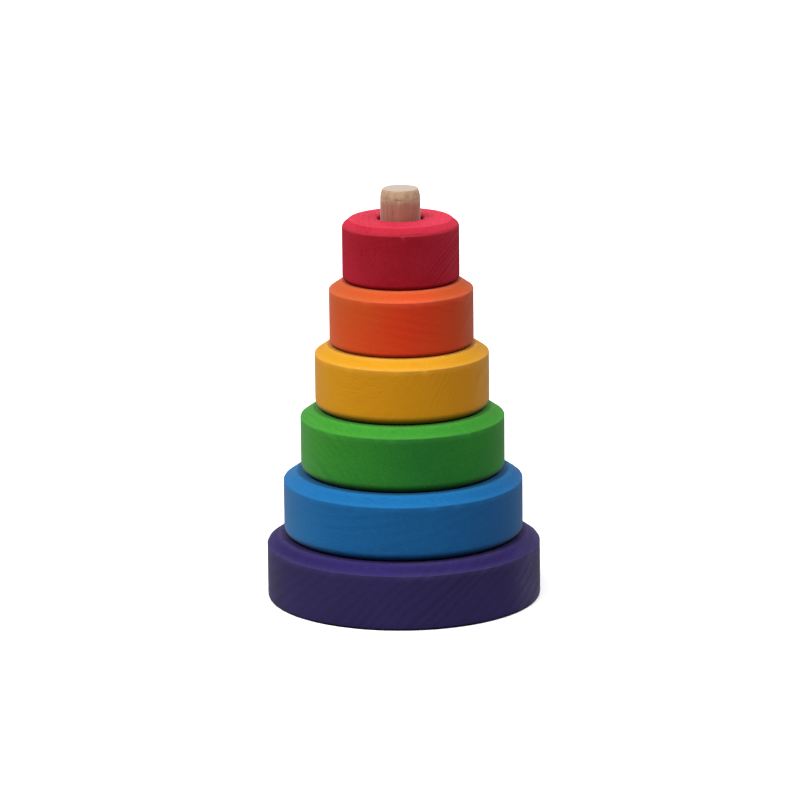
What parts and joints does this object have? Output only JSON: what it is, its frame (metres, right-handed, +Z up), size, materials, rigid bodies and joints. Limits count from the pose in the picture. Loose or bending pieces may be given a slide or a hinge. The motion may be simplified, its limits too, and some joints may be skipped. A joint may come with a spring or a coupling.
{
  "type": "stacking tower toy",
  "caption": "Wooden stacking tower: a round base with an upright peg and bevelled rings in rainbow colours that taper upwards and lift off the peg.",
  "frame": {"origin": "centre of the base's underside, on the floor", "axes": "+Z up along the peg; X and Y are any two level directions, because every piece is turned about Z"},
  "size_m": [0.1, 0.1, 0.1515],
  "materials": {
    "purple_stain": "stained, sanded, matt",
    "bare_wood": "bare, sanded",
    "blue_stain": "stained, sanded, matt",
    "green_stain": "stained, sanded, matt",
    "yellow_stain": "stained, sanded, matt",
    "orange_stain": "stained, sanded, matt",
    "red_stain": "stained, sanded, matt"
  },
  "bodies": {
    "base": {"base_disc": "purple_stain", "peg": "bare_wood"},
    "blue": {"blue_ring": "blue_stain"},
    "green": {"green_ring": "green_stain"},
    "yellow": {"yellow_ring": "yellow_stain"},
    "orange": {"orange_ring": "orange_stain"},
    "red": {"red_ring": "red_stain"}
  },
  "joints": [
    {"name": "blue_lift", "type": "slide", "parent": "base", "child": "blue", "axis": [0, 0, 1], "range_m": [0, 0.1299]},
    {"name": "green_lift", "type": "slide", "parent": "blue", "child": "green", "axis": [0, 0, 1], "range_m": [0, 0.1063]},
    {"name": "yellow_lift", "type": "slide", "parent": "green", "child": "yellow", "axis": [0, 0, 1], "range_m": [0, 0.0827]},
    {"name": "orange_lift", "type": "slide", "parent": "yellow", "child": "orange", "axis": [0, 0, 1], "range_m": [0, 0.0591]},
    {"name": "red_lift", "type": "slide", "parent": "orange", "child": "red", "axis": [0, 0, 1], "range_m": [0, 0.0355]}
  ]
}
